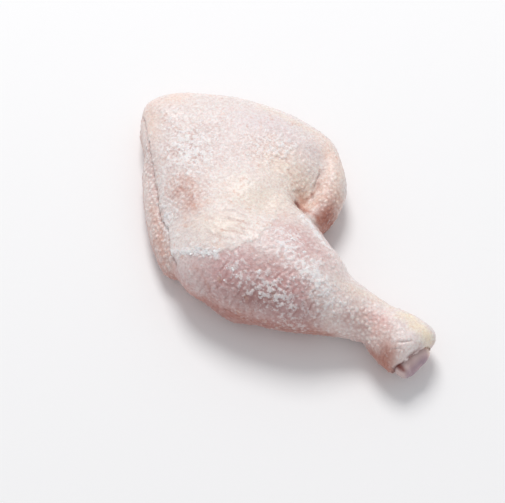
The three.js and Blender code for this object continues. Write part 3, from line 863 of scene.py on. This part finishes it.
def frost_material():
    """Powdery frost, made of tiny ice crystals: white because light scatters between their faces."""
    material, put = new_material("powder_frost")
    finish_material(put, {
        "Base Color": linear("#f4f1f3"), "Roughness": 0.5, "IOR": 1.31,
        "Subsurface Weight": 0.3, "Subsurface Radius": (1.0, 1.0, 1.0), "Subsurface Scale": 0.5 * MM,
    })
    return material


def ice_material():
    """Flakes of frozen meltwater: milky white inside, with glossy faces."""
    material, put = new_material("flaked_ice")
    finish_material(put, {
        "Base Color": linear("#fafafb"), "Roughness": 0.3, "IOR": 1.31,
        "Subsurface Weight": 0.3, "Subsurface Radius": (1.0, 1.0, 1.0), "Subsurface Scale": 0.8 * MM,
    })
    return material


def floor_material():
    """A matt pale studio sheet."""
    material, put = new_material("matt_pale_sheet")
    finish_material(put, {"Base Color": linear("#f8f8f9"), "Roughness": 0.8})
    return material


def wear(piece, material):
    piece.data.materials.clear()
    piece.data.materials.append(material)
    return piece


# The relief of the skin and what lies on it, by geometry nodes


def new_tree(name, sizes):
    """A geometry tree with named number inputs, the function that adds its nodes, and what it is given."""
    tree = bpy.data.node_groups.new(name, "GeometryNodeTree")
    tree.interface.new_socket("Geometry", in_out="INPUT", socket_type="NodeSocketGeometry")
    for label, value in sizes.items():
        tree.interface.new_socket(label, in_out="INPUT", socket_type="NodeSocketFloat").default_value = value
    tree.interface.new_socket("Geometry", in_out="OUTPUT", socket_type="NodeSocketGeometry")
    return tree, partial(add, tree), tree.nodes.new("NodeGroupInput").outputs


def end_tree(put, geometry, material):
    real = put("GeometryNodeRealizeInstances", {"Geometry": geometry})
    dressed = put("GeometryNodeSetMaterial", {"Geometry": real, "Material": material})
    put("NodeGroupOutput", {"Geometry": dressed})


def grow(piece, tree, sizes):
    """Runs a geometry tree on a piece, with its sizes set by their sockets' identifiers."""
    modifier = piece.modifiers.new(tree.name, "NODES")
    modifier.node_group = tree
    for item in tree.interface.items_tree:
        if item.name in sizes:
            modifier[item.identifier] = sizes[item.name]
    return settle_modifiers(piece)


RELIEF = {
    "Bump spacing": 2.2 * MM, "Bump height": 0.95 * MM, "Plain bump share": 0.08, "Bump stray": 1.4 * MM,
    "Bump cluster": 3.5 * MM, "Lump size": 4.5 * MM, "Lump height": 1.3 * MM, "Flake height": 0.3 * MM,
    "Sag size": 20 * MM, "Sag height": 1.0 * MM,
}
PORE_DENSITY = 1.5e6  # pores tried for each square metre, more than their spacing leaves room for
PORE_SEED = 5
BUMP_SEED = 6
BUMP_SIZES = (0.45, 1.0)  # the smallest and the largest bump, as shares of the bump height
SWIRL_SIZE = 1.8 * MM  # the size of the turns that a bump's outline strays in
WRINKLE_BREAKS = 6 * MM  # about how long a wrinkle runs before it fades
UNDERSIDE_BAND = 4 * MM  # how far up from the underside the relief grows to its full height


def pore_bumps(put, place, given):
    """How high the bumps stand, as a share. Each stands round its own pore, and the pores keep their
    distance from each other."""
    pores = put(SPREAD, {
        "Mesh": given[0], "Distance Min": given["Bump spacing"], "Density Max": PORE_DENSITY,
        "Seed": PORE_SEED,
    }, distribute_method="POISSON")
    swirl = put(NOISE, {"Scale": 1 / SWIRL_SIZE, "Detail": 1.0}, "Color")
    swirl = put(VECTORS, {0: swirl, 1: (0.5, 0.5, 0.5)}, operation="SUBTRACT")
    swirl = put(VECTORS, {0: swirl, "Scale": given["Bump stray"]}, operation="SCALE")
    strayed = put(VECTORS, {0: place, 1: swirl}, operation="ADD")
    nearest = put("GeometryNodeSampleNearest", {"Geometry": pores, "Sample Position": strayed})
    pore = {"Geometry": pores, "Value": place, "Index": nearest}
    pore = put("GeometryNodeSampleIndex", pore, data_type="FLOAT_VECTOR")
    away = put(VECTORS, {0: strayed, 1: pore}, "Value", operation="DISTANCE")
    away = put(MATHS, {0: away, 1: given["Bump spacing"]}, operation="DIVIDE")
    limits = {LEAST: BUMP_SIZES[0], MOST: BUMP_SIZES[1], "ID": nearest, "Seed": BUMP_SEED}
    size = put("FunctionNodeRandomValue", limits, DRAWN, data_type="FLOAT")
    dome = {"Value": away, "From Min": 0.1, "From Max": 0.62, "To Min": 1.0, "To Max": 0.0}
    bump = put(RANGE, dome, interpolation_type="SMOOTHSTEP")
    bump = put(MATHS, {0: bump, 1: size}, operation="MULTIPLY")
    density = put(MATHS, {0: 1.0, 1: given["Bump cluster"]}, operation="DIVIDE")
    crowd = put(NOISE, {"Scale": density, "Detail": 2.0})
    crowd = put(RANGE, {"Value": crowd, "From Min": 0.36, "From Max": 0.6, "To Min": 0.2, "To Max": 1.15})
    return put(MATHS, {0: bump, 1: crowd}, operation="MULTIPLY")


def swell(put, size, detail):
    """A soft rise and fall of about a size, from -0.5 to 0.5."""
    density = put(MATHS, {0: 1.0, 1: size}, operation="DIVIDE")
    rise = put(NOISE, {"Scale": density, "Detail": detail})
    return put(MATHS, {0: rise, 1: 0.5}, operation="SUBTRACT")


def add_wrinkles(put, place, total):
    """Adds the families of wrinkles to the relief. Returns it, and where the creases between them are."""
    breaks = put(NOISE, {"Scale": 1 / WRINKLE_BREAKS, "Detail": 1.0})
    breaks = put(RANGE, {"Value": breaks, "From Min": 0.4, "From Max": 0.6, "To Min": 0.1})
    creases = 0.0
    for name, family in WRINKLES.items():
        here = put(COVER, {"Name": name}, COVER_OUTPUT, data_type="FLOAT")
        here = put(MATHS, {0: here, 1: breaks}, operation="MULTIPLY")
        turned = {"Vector": place, "Angle": math.radians(90 - family["turn"])}
        turned = put("ShaderNodeVectorRotate", turned, rotation_type="Z_AXIS")
        wave = put("ShaderNodeTexWave", {
            "Vector": turned, "Scale": WAVE_STEP / (family["apart"] * MM), "Distortion": 5.0,
            "Detail": 2.0, "Detail Scale": 1.6,
        }, "Fac")
        ridge = put(RANGE, {"Value": wave, "From Min": 0.0, "From Max": 0.55})
        lift = put(MATHS, {0: ridge, 1: here}, operation="MULTIPLY")
        total = put(MATHS, {0: lift, 1: family["high"] * MM, 2: total}, operation="MULTIPLY_ADD")
        crease = put(MATHS, {0: here, 1: lift}, operation="SUBTRACT")
        creases = put(MATHS, {0: creases, 1: crease}, operation="MAXIMUM")
    return total, creases


def outward_share(put, place, out):
    """How far out the relief stands. On the flat underside, which is pressed against what it lies on, it
    goes inwards instead."""
    height = put("ShaderNodeSeparateXYZ", {0: place}, "Z")
    lifted = put(RANGE, {"Value": height, "From Min": 0.0, "From Max": UNDERSIDE_BAND})
    facing = put("ShaderNodeSeparateXYZ", {0: out}, "Z")
    pressed = put(RANGE, {"Value": facing, "From Min": -0.7, "From Max": -0.95, "To Max": -0.6})
    return put(MATHS, {0: lifted, 1: pressed}, operation="ADD")


def relief_tree(material):
    """Bumps where the feathers sat, lumps, wrinkles, a crust of frost and soft dips."""
    tree, put, given = new_tree("skin_relief", RELIEF)
    place = put("GeometryNodeInputPosition")
    out = put("GeometryNodeInputNormal")
    goose = put(COVER, {"Name": "gooseflesh"}, COVER_OUTPUT, data_type="FLOAT")
    frost = put(COVER, {"Name": "frost"}, COVER_OUTPUT, data_type="FLOAT")
    share = put(MATHS, {0: goose, 1: given["Plain bump share"]}, operation="MAXIMUM")
    bump = pore_bumps(put, place, given)
    total = put(MATHS, {0: bump, 1: given["Bump height"]}, operation="MULTIPLY")
    total = put(MATHS, {0: total, 1: share}, operation="MULTIPLY")
    lump = swell(put, given["Lump size"], 2.0)
    lump = put(MATHS, {0: lump, 1: given["Lump height"]}, operation="MULTIPLY")
    total = put(MATHS, {0: lump, 1: share, 2: total}, operation="MULTIPLY_ADD")
    total, creases = add_wrinkles(put, place, total)
    flakes = flake_pattern(put, frost, FLAKES)
    total = put(MATHS, {0: flakes, 1: given["Flake height"], 2: total}, operation="MULTIPLY_ADD")
    dip = swell(put, given["Sag size"], 1.0)
    total = put(MATHS, {0: dip, 1: given["Sag height"], 2: total}, operation="MULTIPLY_ADD")
    total = put(MATHS, {0: total, 1: outward_share(put, place, out)}, operation="MULTIPLY")
    offset = put(VECTORS, {0: out, "Scale": total}, operation="SCALE")
    kept = given[0]
    for name, value in (("bump", bump), ("crease", creases)):
        stored = {"Geometry": kept, "Name": name, "Value": value}
        kept = put("GeometryNodeStoreNamedAttribute", stored, data_type="FLOAT", domain="POINT")
    moved = put("GeometryNodeSetPosition", {"Geometry": kept, "Offset": offset})
    end_tree(put, moved, material)
    return tree


FROST = {"Grains per square metre": 7.4e6, "Smallest": 0.09 * MM, "Largest": 0.2 * MM}
FROST_SEED = 11
FROST_FLATNESS = 0.6  # a grain's thickness for its length
ICE = {"Flakes per square metre": 0.5e6, "Smallest": 0.4 * MM, "Largest": 1.1 * MM}
ICE_SEED = 29
ICE_FLATNESS = 0.22
# A crystal is a crude ball of few faces, narrower than it is long, and tilted by up to so many radians.
CRYSTAL = {"Segments": 5, "Rings": 3, "Radius": 1.0}
CRYSTAL_WIDTH = 0.75
CRYSTAL_TILT = 0.5


def scatter_tree(name, sizes, cover, count, flat, seed, material):
    """Crystals strewn on the flakes of the skin where a cover lies, each turned its own way."""
    tree, put, given = new_tree(name, sizes)
    covered = put(COVER, {"Name": cover}, COVER_OUTPUT, data_type="FLOAT")
    flakes = flake_pattern(put, covered, FLAKES)
    share = put(MATHS, {0: covered, 1: flakes}, operation="MULTIPLY")
    share = put(MATHS, {0: share, 1: given[count]}, operation="MULTIPLY")
    spots = put(SPREAD, {"Mesh": given[0], "Density": share, "Seed": seed})
    crystal = put("GeometryNodeMeshUVSphere", CRYSTAL)
    crystal = put("GeometryNodeTransform", {"Geometry": crystal, "Scale": (1.0, CRYSTAL_WIDTH, flat)})
    turned = {
        0: (-CRYSTAL_TILT, -CRYSTAL_TILT, 0.0), 1: (CRYSTAL_TILT, CRYSTAL_TILT, 2 * math.pi),
        "Seed": seed + 1,
    }
    turn = put("FunctionNodeRandomValue", turned, data_type="FLOAT_VECTOR")
    limits = {LEAST: given["Smallest"], MOST: given["Largest"], "Seed": seed + 2}
    size = put("FunctionNodeRandomValue", limits, DRAWN, data_type="FLOAT")
    inputs = {"Points": spots, "Instance": crystal, "Rotation": turn, "Scale": size}
    end_tree(put, put("GeometryNodeInstanceOnPoints", inputs), material)
    return tree


def strew(name, skin, tree, sizes):
    """A piece that holds only what a scatter tree strews on the skin."""
    return grow(add_object(name, skin.data.copy()), tree, sizes)


# The stage, in metres


FLOOR_HALF = 6.0
SKY = (0.97, 0.98, 1.0, 1.0)
SKY_STRENGTH = 0.54
WINDOW = {"place": (-0.7, 1.1, 1.8), "size": 0.9, "power": 29, "colour": (1.0, 0.985, 0.97)}


def make_camera():
    elevation, azimuth = math.radians(VIEW["elevation"]), math.radians(VIEW["azimuth"])
    level = math.cos(elevation)
    back = Vector((math.sin(azimuth) * level, -math.cos(azimuth) * level, math.sin(elevation)))
    data = bpy.data.cameras.new("camera")
    data.sensor_width = SENSOR_MM
    data.lens = VIEW["distance"] / VIEW["mm_per_pixel"] * SENSOR_MM / PICTURE_WIDTH
    camera = bpy.data.objects.new("camera", data)
    bpy.context.scene.collection.objects.link(camera)
    camera.location = (Vector(AIM) + Vector(KNEE)) * MM + back * VIEW["distance"] * MM
    camera.rotation_euler = (-back).to_track_quat("-Z", "Y").to_euler()
    bpy.context.scene.camera = camera


def add_softbox(name, place, size, power, colour):
    data = bpy.data.lights.new(name, "AREA")
    data.shape = "DISK"
    data.size = size
    data.energy = power
    data.color = colour
    light = bpy.data.objects.new(name, data)
    bpy.context.scene.collection.objects.link(light)
    light.location = place
    light.rotation_euler = (-Vector(place)).to_track_quat("-Z", "Y").to_euler()


def make_stage():
    floor = bpy.data.meshes.new("floor")
    corners = [(FLOOR_HALF * x, FLOOR_HALF * y, 0) for x, y in ((-1, -1), (1, -1), (1, 1), (-1, 1))]
    floor.from_pydata(corners, [], [(0, 1, 2, 3)])
    floor = add_object("floor", floor)
    wear(floor, floor_material())
    world = bpy.data.worlds.new("studio")
    world.use_nodes = True
    world.node_tree.nodes["Background"].inputs["Color"].default_value = SKY
    world.node_tree.nodes["Background"].inputs["Strength"].default_value = SKY_STRENGTH
    bpy.context.scene.world = world
    add_softbox("window", **WINDOW)
    bpy.context.scene.view_settings.view_transform = "Standard"


def put_on(piece, slot=None, *nodes):
    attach(piece, BODY)
    if nodes:
        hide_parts(*nodes)


# The cartilage on the joint's end, in millimetres from its middle, with places across it as on the cut.
# A pair is where something starts and where it is in full.
JOINT_MIDDLE = np.array((106.7, -3.7, 13.0))
JOINT_FRONT = (-3, 0)  # how far out its shaped front is
LOBE_GROOVE = {"across": -5.0, "lean": 0.25, "wide": 1.8, "deep": 1.2}  # between its two lobes
LOBE_NARROWING = {"across": (-3, 10), "share": 0.15}  # the right lobe is the thinner
JOINT_LUMPS = {"size": 3.5, "high": 0.35}
PALE_TIP = (5, 9)  # how far across
PALE_RIM = {"turned away": (0.05, 0.5), "share": 0.5}  # where the surface turns away from the cut's facing
BLOOD = {"across": (-6.5, -9), "up": (2.5, 6)}


def shape_joint(points, normals):
    """Parts the cartilage into two lobes and narrows one. Returns the points, where the cartilage is
    paler, and where blood stains it."""
    from_middle = points - JOINT_MIDDLE
    across, up = from_middle @ CUT_ACROSS, from_middle[:, 2]
    front = smoothstep(from_middle @ CUT_FACING, *JOINT_FRONT)
    narrow = 1 - LOBE_NARROWING["share"] * smoothstep(across, *LOBE_NARROWING["across"]) * front
    points[:, 2] = JOINT_MIDDLE[2] + up * narrow
    from_groove = across - LOBE_GROOVE["across"] - LOBE_GROOVE["lean"] * up
    groove = np.exp(-((from_groove / LOBE_GROOVE["wide"]) ** 2))
    points -= normals * (groove * front * LOBE_GROOVE["deep"])[:, None]
    points += normals * (JOINT_LUMPS["high"] * grained(points, JOINT_LUMPS["size"]) * front)[:, None]
    rim = smoothstep(1 - np.abs(normals @ CUT_FACING), *PALE_RIM["turned away"])
    pale = np.maximum(smoothstep(across, *PALE_TIP), PALE_RIM["share"] * rim)
    bloody = smoothstep(across, *BLOOD["across"]) * smoothstep(up, *BLOOD["up"])
    return points, pale, bloody


def make_joint():
    piece = merged_copy("leg_bone", "joint_cartilage")
    add_modifier(piece, "SUBSURF", levels=2, render_levels=2)
    settle_modifiers(piece)
    points, pale, bloody = shape_joint(*read_points(piece.data))
    write_values(piece.data, "pale", pale)
    write_values(piece.data, "bloody", bloody)
    write_points(piece.data, points)
    smooth_faces(piece.data)
    return wear(piece, cartilage_material())


make_camera()
make_stage()

skin = make_skin()
grow(skin, relief_tree(skin_material()), RELIEF)
lighten(skin, SKIN_TRIANGLES)
put_on(skin, "skin", "leg_flesh")

joint = make_joint()
put_on(joint, "cartilage", "leg_bone")

frost_rule = scatter_tree(
    "frost_scatter", FROST, cover="frost", count="Grains per square metre", flat=FROST_FLATNESS,
    seed=FROST_SEED, material=frost_material(),
)
put_on(strew("frost_grains", skin, frost_rule, FROST))

ice_rule = scatter_tree(
    "ice_scatter", ICE, cover="ice", count="Flakes per square metre", flat=ICE_FLATNESS,
    seed=ICE_SEED, material=ice_material(),
)
put_on(strew("ice_flakes", skin, ice_rule, ICE))
